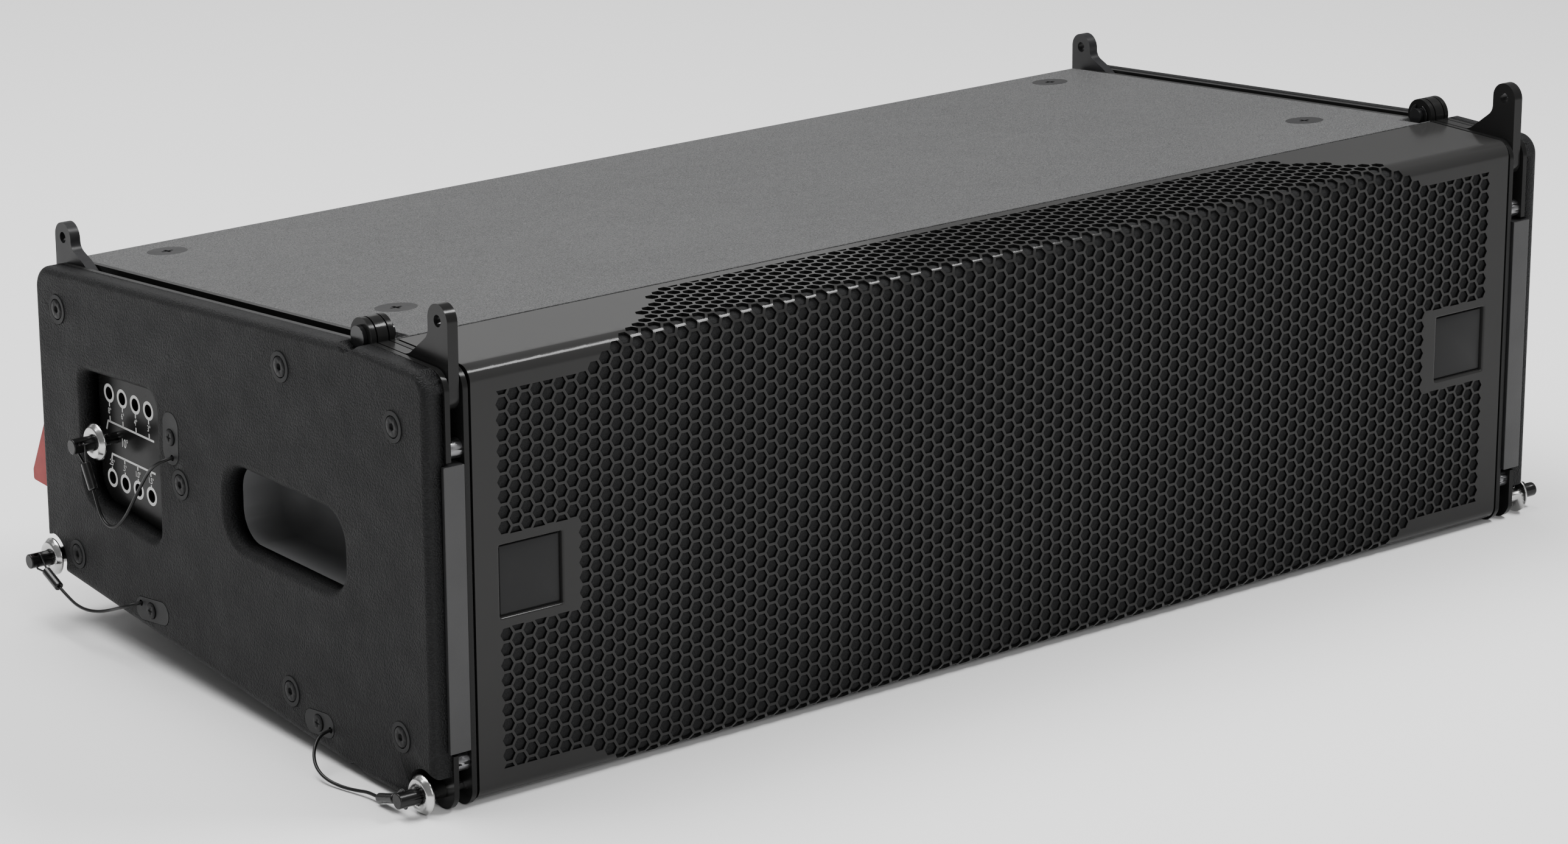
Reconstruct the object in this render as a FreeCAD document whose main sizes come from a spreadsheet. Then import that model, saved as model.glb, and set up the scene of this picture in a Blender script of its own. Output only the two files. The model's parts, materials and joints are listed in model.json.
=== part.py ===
import FreeCAD, Part
import math
import os
import re

# Line array speaker: one flown element with two woofers behind a wrapped grille.
# Working axes while the pieces are drawn: X to the right seen from the front, Y is the depth
# behind the flat of the grille (positive to the rear), Z is the height above the mid plane.
# Every finished piece is then moved so that the origin is the centre of the base.

V = FreeCAD.Vector
doc = FreeCAD.newDocument("line_array_speaker")
sheet = doc.addObject("Spreadsheet::Sheet", "Dims")

DRIVING = {
    # overall
    "cover_x": 503, "cover_thick": 14.5, "front_half": 149, "taper_deg": 5, "taper_start": 86,
    "cover_front": 2, "cover_rear": 506, "base_half": 152, "mid_depth": 277.5,
    # rigging plates and the slot between them
    "plate_out_x": 484.5, "plate_thick": 4, "slot_x": 474.5, "slot_wide": 10, "plate_in_x": 470.5,
    "link_x": 475.5, "link_thick": 8, "plate_rear": 504,
    # cabinet
    "cab_half": 470.5, "wall": 15, "cab_front": 10, "cab_rear": 500, "under_half": 131.4,
    "seam_depth": 84.5, "grille_half": 468.7, "grille_thick": 2, "grille_corner": 11,
    "baffle_front": 26, "baffle_thick": 18, "rear_front": 468, "rear_thick": 15,
    # links
    "knuckle_d": 96.4, "knuckle_up": 151, "hump_r": 12.7, "knuckle_pin_r": 6, "ear_d": 13.8, "ear_up": 179.5,
    "ear_r": 11.3, "rear_ear_d": 495.8, "rear_ear_up": 130.7, "pivot_d": 60, "pivot_up": 85,
    "pivot_r": 7,
    # quick-release pins
    "pin_r": 4, "pin_hole_r": 4.08, "pin_front_d": 13.8, "pin_front_up": -138.4,
    "pin_rear_d": 495, "pin_rear_up": -104.8, "pin_index_d": 424, "pin_index_up": 0,
    "flange_r": 13.6, "flange_face_r": 10.6, "flange_in_x": 503.6, "flange_out_x": 508.5, "shoulder_r": 5.8,
    "shoulder_in_x": 489.2,
    "pin_tip_x": 468, "index_tip_x": 485.5, "knob_r": 5.42, "knob_bore_r": 5.5, "knob_in_x": 507.2,
    "knob_out_x": 524.5, "knob_bore_x": 504.4, "knob_travel": 2.5, "loop_x": 517.5,
    # index holes: four columns, two rows
    "index_first_d": 430.7, "index_pitch": 18.06, "index_row": 31.5,
    # handle pocket
    "pocket_d": 178, "pocket_long": 148, "pocket_high": 57, "pocket_corner": 22, "cup_wall": 3,
    "cup_deep": 50,
    # loudspeakers
    "woofer_x": 318, "woofer_flange_r": 128, "woofer_hole_r": 118, "cone_r": 96, "coil_r": 38,
    "motor_r": 78, "motor_front": 104, "motor_deep": 42,
}
for row, (alias, number) in enumerate(DRIVING.items(), start=1):
    sheet.set("A%d" % row, alias)
    sheet.set("B%d" % row, str(number))
    sheet.setAlias("B%d" % row, alias)
doc.recompute()

NODES = {}
NAMES = sorted(DRIVING, key=len, reverse=True)
WORD = re.compile(r"\b(" + "|".join(NAMES) + r")\b")


def val(alias):
    return float(sheet.get(alias))


def bind(obj, prop, size):
    """Sets a property to a number, or binds it to an expression of sheet names."""
    if isinstance(size, str):
        obj.setExpression(prop, WORD.sub(r"Dims.\1", size))
    else:
        target = obj
        *path, last = prop.split(".")
        if path:
            place = target.Placement
            setattr(place.Base, last, size)
            target.Placement = place
        else:
            setattr(target, last, size)


def set_base(obj, x, y, z):
    for axis, size in zip("xyz", (x, y, z)):
        bind(obj, "Placement.Base." + axis, size)


def node(label, obj, shift=True):
    """Names a finished piece and moves it from the working axes to the part's own origin."""
    if shift:
        set_base(obj, 0, "-mid_depth", "base_half")
    obj.Label = label
    NODES[label] = obj
    return obj


# ---------------------------------------------------------------- shapes
TURN = {"x": FreeCAD.Rotation(V(0, 1, 0), 90), "y": FreeCAD.Rotation(V(1, 0, 0), -90), "z": FreeCAD.Rotation()}


def box(name, x, y, z, sx, sy, sz):
    obj = doc.addObject("Part::Box", name)
    for prop, size in zip(("Length", "Width", "Height"), (sx, sy, sz)):
        bind(obj, prop, size)
    set_base(obj, x, y, z)
    return obj


def cylinder(name, axis, radius, length, x, y, z):
    obj = doc.addObject("Part::Cylinder", name)
    bind(obj, "Radius", radius)
    bind(obj, "Height", length)
    obj.Placement = FreeCAD.Placement(V(), TURN[axis])
    set_base(obj, x, y, z)
    return obj


def cone(name, axis, radius_1, radius_2, length, x, y, z):
    obj = doc.addObject("Part::Cone", name)
    bind(obj, "Radius1", radius_1)
    bind(obj, "Radius2", radius_2)
    bind(obj, "Height", length)
    obj.Placement = FreeCAD.Placement(V(), TURN[axis])
    set_base(obj, x, y, z)
    return obj


def fuse(name, parts):
    obj = doc.addObject("Part::MultiFuse", name)
    obj.Shapes = parts
    obj.Refine = True
    return obj


def cut(name, base, tools):
    obj = doc.addObject("Part::Cut", name)
    obj.Base = base
    obj.Tool = tools[0] if len(tools) == 1 else fuse(name + "_tools", tools)
    obj.Refine = True
    return obj


def group(name, parts):
    obj = doc.addObject("Part::Compound", name)
    obj.Links = parts
    return obj


def mirror(name, source, normal=V(1, 0, 0), base=V(0, 0, 0)):
    obj = doc.addObject("Part::Mirroring", name)
    obj.Source = source
    obj.Normal = normal
    obj.Base = base
    return obj


def rounded(corners):
    """Closed outline from corners (u, v, radius): lines joined by tangent arcs."""
    count = len(corners)
    starts, ends, mids = [], [], []
    for i, (u, v, radius) in enumerate(corners):
        here = V(u, v, 0)
        before = V(corners[i - 1][0], corners[i - 1][1], 0) - here
        after = V(corners[(i + 1) % count][0], corners[(i + 1) % count][1], 0) - here
        before.normalize()
        after.normalize()
        if radius <= 0:
            starts.append(here)
            ends.append(here)
            mids.append(None)
            continue
        half = before.getAngle(after) / 2
        reach = radius / math.tan(half)
        centre_way = before + after
        centre_way.normalize()
        centre = here + centre_way * (radius / math.sin(half))
        starts.append(here + before * reach)
        ends.append(here + after * reach)
        mids.append(centre - centre_way * radius)
    pieces = []
    for i in range(count):
        if mids[i] is not None:
            pieces.append(Part.Arc(starts[i], mids[i], ends[i]))
        following = starts[(i + 1) % count]
        if (following - ends[i]).Length > 1e-6:
            pieces.append(Part.LineSegment(ends[i], following))
    return pieces


def body_with_sketch(name, plane, geometry):
    body = doc.addObject("PartDesign::Body", name)
    sketch = body.newObject("Sketcher::SketchObject", name + "_outline")
    origin_plane = [item for item in body.Origin.OriginFeatures if item.Role == plane][0]
    sketch.AttachmentSupport = [(origin_plane, "")]
    sketch.MapMode = "FlatFace"
    for piece in geometry:
        sketch.addGeometry(piece, False)
    return body, sketch


def prism(name, corners, x, thickness):
    """Side-view outline (depth, height, corner radius) padded along X."""
    body, sketch = body_with_sketch(name, "YZ_Plane", rounded(corners))
    pad = body.newObject("PartDesign::Pad", name + "_pad")
    pad.Profile = sketch
    bind(pad, "Length", thickness)
    bind(body, "Placement.Base.x", x)
    return body


def turned(name, profile, x, z):
    """Half profile (radius, depth) turned about an axis along Y."""
    body, sketch = body_with_sketch(name, "XY_Plane", rounded([(r, d, 0) for r, d in profile]))
    feature = body.newObject("PartDesign::Revolution", name + "_turn")
    feature.Profile = sketch
    feature.ReferenceAxis = (sketch, ["V_Axis"])
    feature.Angle = 360
    bind(body, "Placement.Base.x", x)
    bind(body, "Placement.Base.z", z)
    return body


def filleted(name, base, wanted, radius):
    """Rounds the edges of base whose centre passes the test wanted(point, edge)."""
    doc.recompute()
    edges = [(i + 1, radius, radius) for i, edge in enumerate(base.Shape.Edges)
             if wanted(edge.CenterOfMass, edge)]
    obj = doc.addObject("Part::Fillet", name)
    obj.Base = base
    obj.Edges = edges
    return obj


SLOPE = math.tan(math.radians(val("taper_deg")))
TOP = val("front_half")
START = val("taper_start")


def top_line(depth, inset=0.0):
    """Height of the cabinet's top line at a depth behind the grille."""
    return TOP - inset - SLOPE * max(0.0, depth - START)


# ---------------------------------------------------------------- cabinet
def cabinet():
    front, seam, rear = val("cab_front"), val("seam_depth"), val("cab_rear")
    under = val("under_half")
    under_rear = under - SLOPE * (rear - START)
    rebate = TOP - val("grille_thick") - 0.6
    ease = front + 7.5
    panel_line = [(front, rebate - 7, 0), (ease, rebate, 0), (seam, rebate, 0), (seam, TOP, 0),
                  (START, TOP, 0), (rear, top_line(rear), 0), (rear, under_rear, 0), (START, under, 0),
                  (front, under, 0)]
    top = prism("top_panel", panel_line, "-cab_half", "2 * cab_half")
    clip_r = val("hump_r") - 1.2
    reliefs = [cylinder("clip_relief_%d" % i, "x", clip_r, 12, x, "knuckle_d", "knuckle_up")
               for i, x in enumerate((-470.5, 458.5))]
    screws = [placed_panel_screw("screw_seat", x, d, 0.05) for x in (-416, 416) for d in (166, 465.6)]
    top = cut("cabinet_top", top, reliefs + screws)
    node("cabinet_top", top)
    bottom_cuts = [placed_panel_screw("screw_seat_low", x, d, 0.05) for x in (-416, 416)
                   for d in (166, 465.6)]
    for x in (-471, 466):
        for place in ("front", "rear"):
            bottom_cuts.append(cylinder("tip_relief", "x", "pin_r + 1.5", 5, x, "pin_%s_d" % place,
                                        "-pin_%s_up" % place))
    low_panel = prism("bottom_panel", panel_line, "-cab_half", "2 * cab_half")
    bottom_source = cut("bottom_source", low_panel, bottom_cuts)
    node("cabinet_bottom", mirror("cabinet_bottom", bottom_source, V(0, 0, 1)))

    wall_line = [(front, under, 0), (START, under, 0), (rear, under_rear, 0),
                 (rear, -under_rear, 0), (START, -under, 0), (front, -under, 0)]
    right = cut("right_wall", prism("wall", wall_line, "cab_half - wall", "wall"), [
        pocket_block("wall_pocket", 3.5, "cab_half - wall - 1", "wall + 2")])
    node("cabinet_side_walls", group("cabinet_side_walls", [right, mirror("left_wall", right)]))

    inner = val("cab_half") - val("wall")
    deep = val("rear_front")
    thick = val("rear_thick")
    high_front = under - SLOPE * (deep - START)
    high_rear = under - SLOPE * (deep + thick - START)
    back_line = [(deep, high_front, 0), (deep + thick, high_rear, 0), (deep + thick, -high_rear, 0),
                 (deep, -high_front, 0)]
    back = prism("back_board", back_line, -inner, 2 * inner)
    opening = box("module_opening", -190, "rear_front - 1", -76, 380, "rear_thick + 2", 152)
    node("cabinet_rear", cut("cabinet_rear", back, [opening]))

    baffle = box("baffle_board", -inner, "baffle_front", "-under_half", 2 * inner, "baffle_thick",
                 "2 * under_half")
    holes = [cylinder("woofer_hole", "y", "woofer_hole_r", "baffle_thick + 2", x, "baffle_front - 1", 0)
             for x in ("-woofer_x", "woofer_x")]
    horn = box("horn_opening", -118, "baffle_front - 1", -100, 236, "baffle_thick + 2", 200)
    node("front_baffle", cut("front_baffle", baffle, holes + [horn]))


def placed_panel_screw(name, x, depth, clearance):
    """Flush screw head let into the tapered top, square to its slope."""
    head = doc.addObject("Part::Cylinder", name)
    head.Radius = 14.5 + clearance
    head.Height = 4 + 2 * clearance
    turn = FreeCAD.Rotation(V(1, 0, 0), -val("taper_deg"))
    place = V(x, depth, top_line(depth)) - turn.multVec(V(0, 0, 4 + clearance))
    head.Placement = FreeCAD.Placement(place, turn)
    return head


def panel_screws():
    screws = []
    for x in (-416, 416):
        for depth in (166, 465.6):
            head = placed_panel_screw("panel_screw_head", x, depth, 0)
            turn = head.Placement.Rotation
            tools = []
            for long, wide in ((9, 2.4), (2.4, 9)):
                slot = doc.addObject("Part::Box", "panel_screw_slot")
                slot.Length, slot.Width, slot.Height = long, wide, 3
                corner = V(x, depth, top_line(depth)) + turn.multVec(V(-long / 2, -wide / 2, -2.2))
                slot.Placement = FreeCAD.Placement(corner, turn)
                tools.append(slot)
            screws.append(cut("panel_screw", head, tools))
    upper = group("panel_screws_top", screws)
    node("panel_screws", group("panel_screws", [upper, mirror("panel_screws_low", upper, V(0, 0, 1))]))


# ---------------------------------------------------------------- grille, foam and badges
BADGE_X = 424.3
BADGE_HALF = 27


def grille():
    thick, corner = val("grille_thick"), val("grille_corner")
    seam = val("seam_depth") - 1
    outer = [(seam, TOP, 0), (0, TOP, corner), (0, -TOP, corner), (seam, -TOP, 0),
             (seam, -TOP + thick, 0), (thick, -TOP + thick, corner - thick),
             (thick, TOP - thick, corner - thick), (seam, TOP - thick, 0)]
    sheet_body = prism("grille_sheet", outer, "-grille_half", "2 * grille_half")
    windows = [box("badge_window", x - BADGE_HALF, -1, -BADGE_HALF, 2 * BADGE_HALF, 4, 2 * BADGE_HALF)
               for x in (-BADGE_X, BADGE_X)]
    node("grille", cut("grille", sheet_body, windows))
    plates = [box("badge", x - BADGE_HALF - 3, 2.05, -BADGE_HALF - 3, 2 * BADGE_HALF + 6, 1.2,
                  2 * BADGE_HALF + 6) for x in (-BADGE_X, BADGE_X)]
    node("badge_plates", group("badge_plates", plates))
    foam = box("foam_sheet", -462, 3.4, -134, 924, 6.4, 268)
    node("grille_foam", group("grille_foam", [foam]))


# ---------------------------------------------------------------- rigging plates
def plate_outline(inset=0.0):
    """Side plate: cabinet side view with a lobe for the front lower pin."""
    rear = val("plate_rear")
    low_rear = -top_line(rear)
    return [(inset, TOP, 14), (START, TOP, 0), (rear, top_line(rear), 16), (rear, low_rear, 5),
            (START, -TOP, 0), (inset, -TOP, 10)]


def pocket_block(name, margin, x, length):
    """Rounded oblong prism the size of the handle pocket plus a margin."""
    half_long = val("pocket_long") / 2 + margin
    half_high = val("pocket_high") / 2 + margin
    middle = val("pocket_d")
    corner = val("pocket_corner") + margin
    line = [(middle - half_long, half_high, corner), (middle + half_long, half_high, corner),
            (middle + half_long, -half_high, corner), (middle - half_long, -half_high, corner)]
    return prism(name, line, x, length)


def plate(name, x, fixings, extra):
    blank = prism(name + "_blank", plate_outline(), x, "plate_thick")
    hump = cylinder(name + "_hump", "x", "hump_r", "plate_thick", x, "knuckle_d", "knuckle_up")
    lobe = cylinder(name + "_lobe", "x", 13.6, "plate_thick", x, "pin_front_d", "pin_front_up")
    whole = fuse(name + "_whole", [blank, hump, lobe])
    tools = [pocket_block(name + "_pocket", 3.5, x + " - 1", "plate_thick + 2")]
    for label, radius, depth, height in fixings:
        tools.append(cylinder(name + "_" + label, "x", radius, "plate_thick + 2", x + " - 1", depth, height))
    return cut(name, whole, tools + extra)


COMMON_HOLES = [("knuckle", "knuckle_pin_r + 0.05", "knuckle_d", "knuckle_up"),
                ("pin_front", "pin_hole_r", "pin_front_d", "pin_front_up"),
                ("pin_rear", "pin_hole_r", "pin_rear_d", "pin_rear_up"),
                ("pin_index", "pin_hole_r", "pin_index_d", "pin_index_up"),
                ("pivot", "pivot_r + 0.05", "pivot_d", "pivot_up")]


def index_holes():
    holes = []
    for row in (1, -1):
        for column in range(4):
            depth = "index_first_d - %d * index_pitch" % column
            holes.append(("index_%d_%d" % (row, column), 4.5, depth, "%d * index_row" % row))
    return holes


def rigging_plates():
    step = box("cover_step", "plate_out_x - 1", -2, -111.9, "plate_thick + 2", 12, 200.5)
    outer = plate("outer_plate", "plate_out_x", COMMON_HOLES + index_holes(), [step])
    node("outer_plates", group("outer_plates", [outer, mirror("outer_plate_left", outer)]))
    inner = plate("inner_plate", "plate_in_x", COMMON_HOLES, [])
    node("inner_plates", group("inner_plates", [inner, mirror("inner_plate_left", inner)]))

    lip = box("slot_lip", "slot_x + 1.2", -2, -109.4, "slot_wide + plate_thick + 2.1", 3.6, 196)
    cap = box("slot_cap", "slot_x + 1.2", -2, -109.4, "slot_wide + plate_thick - 1.4", 11.6, 196)
    tongue = box("slot_tongue", "slot_x + 0.1", 9.6, -96, "slot_wide - 0.2", 12, 170)
    filler = fuse("slot_cover", [lip, cap, tongue])
    node("slot_covers", group("slot_covers", [filler, mirror("slot_cover_left", filler)]))

    places = [(8.2, 95, 6.6), (8.4, -119.2, 6.6), (40, 112.5, 5), (120, -126, 6), (300, -117, 6),
              (462, -97, 6), (236, 121, 6)]
    barrels = [cylinder("spacer", "x", radius, "slot_wide", "slot_x", depth, height)
               for depth, height, radius in places]
    right = group("spacers_right", barrels)
    node("slot_spacers", group("slot_spacers", [right, mirror("spacers_left", right)]))


# ---------------------------------------------------------------- links and their pins
def links():
    knuckle_d, knuckle_up = val("knuckle_d"), val("knuckle_up")
    ear_d, ear_up, ear_r = val("ear_d"), val("ear_up"), val("ear_r")
    line = [(ear_d - ear_r, ear_up + ear_r, ear_r - 0.01), (ear_d + ear_r, ear_up + ear_r, ear_r - 0.01),
            (ear_d + ear_r, ear_up - 12, 10), (49, 149, 14), (knuckle_d, 149, 0),
            (knuckle_d, knuckle_up - 12.5, 0), (30, 120.5, 4), (ear_d - ear_r, 120.5, 10)]
    arm = prism("front_link_arm", line, "link_x", "link_thick")
    hump = cylinder("front_link_hump", "x", "hump_r", "link_thick", "link_x", "knuckle_d", "knuckle_up")
    right = cut("front_link_right", fuse("front_link_whole", [arm, hump]), [
        cylinder("front_link_bore", "x", "knuckle_pin_r + 0.05", "link_thick + 2", "link_x - 1",
                 "knuckle_d", "knuckle_up"),
        cylinder("front_ear_hole", "x", "pin_hole_r", "link_thick + 2", "link_x - 1", "ear_d", "ear_up")])
    node("front_link_right", right)
    node("front_link_left", mirror("front_link_left", right), shift=False)

    d, up = val("rear_ear_d"), val("rear_ear_up")
    lever = [(40, 102, 16), (80, 102, 16), (118, 68, 30), (210, 66, 0), (330, 80, 60), (440, 101, 30),
             (469, 118, 20), (d - 11, up - 6, 8), (d - 11, up + 11, 10.9), (d + 11, up + 11, 10.9),
             (d + 11, -70, 8), (476, -74, 12), (418, -110, 14), (338, -110, 14), (262, -36, 16),
             (262, 37, 8), (104, 37, 40), (72, 66, 12), (44, 68, 16)]
    blade = prism("rear_link_blade", lever, "link_x", "link_thick")
    tab = prism("rear_link_tab", [(d + 10, 44, 0), (d + 13, 40, 0), (557, -58, 3), (557, -66, 2),
                                  (d + 13, -68, 0), (d + 10, -68, 0)], "link_x", "link_thick")
    holes = [cylinder("rear_ear_hole", "x", "pin_hole_r", "link_thick + 2", "link_x - 1", "rear_ear_d",
                      "rear_ear_up"),
             cylinder("rear_link_bore", "x", "pivot_r + 0.05", "link_thick + 2", "link_x - 1", "pivot_d",
                      "pivot_up"),
             cylinder("rear_link_index", "x", "pin_hole_r", "link_thick + 2", "link_x - 1", "pin_index_d",
                      "pin_index_up")]
    for depth, height in link_index_holes():
        holes.append(cylinder("rear_link_hole", "x", "pin_hole_r", "link_thick + 2", "link_x - 1",
                              depth, height))
    right = cut("rear_link_right", fuse("rear_link_whole", [blade, tab]), holes)
    node("rear_link_right", right)
    node("rear_link_left", mirror("rear_link_left", right), shift=False)

    knuckle = pin_with_clip("knuckle", "knuckle_pin_r", 7.8, "knuckle_d", "knuckle_up")
    pivot = pin_with_clip("pivot", "pivot_r", None, "pivot_d", "pivot_up")
    node("knuckle_pins", group("knuckle_pins", [knuckle, mirror("knuckle_left", knuckle)]))
    node("rear_link_pivots", group("rear_link_pivots", [pivot, mirror("pivot_left", pivot)]))
    ring = cut("clip_ring", cylinder("clip_disc", "x", 9, 1, "plate_in_x - 1.6", "knuckle_d", "knuckle_up"), [
        cylinder("clip_hole", "x", 4.6, 3, "plate_in_x - 2.6", "knuckle_d", "knuckle_up"),
        box("clip_mouth", "plate_in_x - 2.6", "knuckle_d - 3.4", "knuckle_up", 3, 6.8, 12)])
    node("knuckle_clips", group("knuckle_clips", [ring, mirror("clip_left", ring)]))


def link_index_holes():
    """Where each index hole meets the lever when it is lifted to that splay angle."""
    pivot = V(0, val("pivot_d"), val("pivot_up"))
    reach = (V(0, val("rear_ear_d"), val("rear_ear_up")) - pivot).Length
    span = val("rear_ear_d") - val("ear_d")
    closed = 2 * val("taper_deg")
    places = []
    for row, angles in ((1, (8, 6, 4, 3)), (-1, (0.25, 0.5, 1.0, 1.5))):
        for column, angle in enumerate(angles):
            lift = math.degrees(math.radians(closed - angle) * span / reach)
            fixed = V(0, val("index_first_d") - column * val("index_pitch"), row * val("index_row"))
            turn = FreeCAD.Rotation(V(1, 0, 0), -lift)
            spot = pivot + turn.multVec(fixed - pivot)
            places.append((spot.y, spot.z))
    return places


def pin_with_clip(name, radius, head_r, depth, height):
    """Link pivot through both plates; the knuckle one has a head outside and a grooved inner end."""
    if head_r is None:
        return cylinder(name + "_pin", "x", radius, "plate_out_x + plate_thick - plate_in_x", "plate_in_x",
                        depth, height)
    shank = cylinder(name + "_shank", "x", radius, "plate_out_x + plate_thick - plate_in_x + 5",
                     "plate_in_x - 5", depth, height)
    head = cylinder(name + "_head", "x", head_r, 3, "plate_out_x + plate_thick + 0.1", depth, height)
    whole = fuse(name + "_pin_whole", [shank, cylinder(name + "_neck", "x", radius, 1,
                                                       "plate_out_x + plate_thick - 0.5", depth, height), head])
    groove = cut(name + "_groove", cylinder(name + "_groove_out", "x", 9, 1.2, "plate_in_x - 1.7",
                                            depth, height),
                 [cylinder(name + "_groove_in", "x", 4.5, 3, "plate_in_x - 2.6", depth, height)])
    return cut(name + "_pin", whole, [groove])


# ---------------------------------------------------------------- side covers
SIDE_SCREWS = [(474, 86), (175, 114.5), (39.5, 106.5), (311, -3), (460.5, -94), (175, -114.5), (39.5, -106.5)]


def side_covers():
    front, rear = val("cover_front"), val("cover_rear")
    line = [(front, TOP, 15), (START, TOP, 0), (rear, top_line(rear), 18), (rear, -top_line(rear), 10),
            (START, -TOP, 0), (front, -TOP, 10)]
    blank = prism("cover_blank", line, "cover_x - cover_thick", "cover_thick")
    arcs = [cylinder("cover_front_arc", "x", 17, 16, "cover_x - 15", "pin_front_d", "pin_front_up"),
            box("cover_front_corner", "cover_x - 15", -12, -160, 16, 24, 32),
            cylinder("cover_rear_arc", "x", 17, 16, "cover_x - 15", "pin_rear_d", "pin_rear_up"),
            box("cover_rear_corner", "cover_x - 15", "pin_rear_d", -130, 16, 20, 25),
            cylinder("cover_top_scallop", "x", 15.5, 16, "cover_x - 15", "knuckle_d", 158.4),
            cylinder("cover_low_scallop", "x", 15.5, 16, "cover_x - 15", "knuckle_d", -158.4)]
    outer_x = val("cover_x")

    def outer_rim(point, edge):
        return abs(point.x - outer_x) < 0.01 and edge.BoundBox.XLength < 0.01
    eased = cut("cover_eased", filleted("cover_rounded", blank, outer_rim, 5.5), arcs)
    window = prism("cover_window", [(343, 55, 12), (445, 47.5, 9), (445, -47.5, 20), (343, -55, 10)],
                   "cover_x - cover_thick - 1", "cover_thick + 2")
    pocket = pocket_block("cover_pocket", 0, "cover_x - cover_thick - 1", "cover_thick + 2")
    opened = cut("cover_opened", eased, [window, pocket])

    def opening_rim(point, edge):
        in_window = 342 < point.y < 446 and abs(point.z) < 56
        in_pocket = 103 < point.y < 253 and abs(point.z) < 30
        return abs(point.x - outer_x) < 0.01 and (in_window or in_pocket)
    softened = filleted("cover_softened", opened, opening_rim, 6)
    tools = []
    for depth, height in SIDE_SCREWS:
        tools.append(cylinder("washer_seat", "x", 11, 4, "cover_x - 1.6", depth, height))
        tools.append(cylinder("screw_way", "x", 3.3, "cover_thick + 2", "cover_x - cover_thick - 1",
                              depth, height))
    for place in RETAINERS:
        tools.append(retainer_outline("retainer_seat", place, 0.3, "cover_x - 1.3", 4))
        tools.append(cylinder("retainer_way", "x", 2.2, 10, "cover_x - 7", place["hole"][0], place["hole"][1]))
        tools.append(cylinder("retainer_screw_way", "x", 2.0, 10, "cover_x - 9", place["screw"][0],
                              place["screw"][1]))
    right = cut("side_cover_right", softened, tools)
    node("side_cover_right", right)
    node("side_cover_left", mirror("side_cover_left", right), shift=False)

    screws, washers = [], []
    for depth, height in SIDE_SCREWS:
        washer = cylinder("washer_disc", "x", 10.7, 2.2, "cover_x - 1.6", depth, height)
        washers.append(cut("cup_washer", washer, [cylinder("washer_hole", "x", 7.6, 4, "cover_x - 1",
                                                           depth, height),
                                                  cylinder("washer_bore", "x", 3.2, 4, "cover_x - 3",
                                                           depth, height)]))
        head = cylinder("screw_head", "x", 6.9, 1.8, "cover_x - 1", depth, height)
        shank = cylinder("screw_shank", "x", 3, "cover_thick - 1", "cover_x - cover_thick + 0.1", depth, height)
        socket = doc.addObject("Part::Prism", "screw_socket")
        socket.Polygon = 6
        socket.Circumradius = 2.9
        socket.Height = 3
        socket.Placement = FreeCAD.Placement(V(), TURN["x"])
        set_base(socket, "cover_x - 0.8", depth, height)
        screws.append(cut("side_screw", fuse("side_screw_whole", [head, shank]), [socket]))
    for label, parts in (("side_screws", screws), ("side_washers", washers)):
        one_side = group(label + "_right", parts)
        node(label, group(label, [one_side, mirror(label + "_left", one_side)]))


# ---------------------------------------------------------------- lanyard retainers
RETAINERS = [
    {"middle": (322, 27.6), "long": 38, "wide": 20.5, "lean": 88, "screw": (322.3, 28.6), "hole": (320.8, 14)},
    {"middle": (357.3, -108.4), "long": 44, "wide": 17, "lean": 7, "screw": (358.5, -108.6),
     "hole": (372.6, -106.4)},
    {"middle": (140, -127.2), "long": 36, "wide": 17, "lean": 6, "screw": (141, -127), "hole": (126.4, -128)},
]


def retainer_outline(name, place, margin, x, thickness):
    """Oblong with round ends, leaning in the side view."""
    half_long = place["long"] / 2 + margin
    half_wide = place["wide"] / 2 + margin
    lean = math.radians(place["lean"])
    corners = []
    for u, v in ((-half_long, half_wide), (half_long, half_wide), (half_long, -half_wide),
                 (-half_long, -half_wide)):
        corners.append((place["middle"][0] + u * math.cos(lean) + v * math.sin(lean),
                        place["middle"][1] - u * math.sin(lean) + v * math.cos(lean), half_wide - 0.5))
    return prism(name, corners, x, thickness)


def retainers():
    plates, screws = [], []
    for place in RETAINERS:
        blank = retainer_outline("retainer_plate", place, 0, "cover_x - 1.3", 1.5)
        hole_d, hole_up = place["hole"]
        screw_d, screw_up = place["screw"]
        plates.append(cut("retainer", blank, [
            cylinder("retainer_hole", "x", 2.2, 4, "cover_x - 2", hole_d, hole_up),
            cylinder("retainer_screw_hole", "x", 2.0, 4, "cover_x - 2", screw_d, screw_up)]))
        head = cone("retainer_screw_head", "x", 6.2, 5.2, 1.1, "cover_x + 0.2", screw_d, screw_up)
        shank = cylinder("retainer_screw_shank", "x", 1.9, 7, "cover_x - 6.5", screw_d, screw_up)
        tools = [box("retainer_screw_slot", "cover_x + 0.7", screw_d - wide / 2, screw_up - high / 2, 2, wide, high)
                 for wide, high in ((5.4, 1.2), (1.2, 5.4))]
        screws.append(cut("retainer_screw", fuse("retainer_screw_whole", [head, shank]), tools))
    for label, parts in (("lanyard_plates", plates), ("lanyard_screws", screws)):
        one_side = group(label + "_right", parts)
        node(label, group(label, [one_side, mirror(label + "_left", one_side)]))


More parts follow.
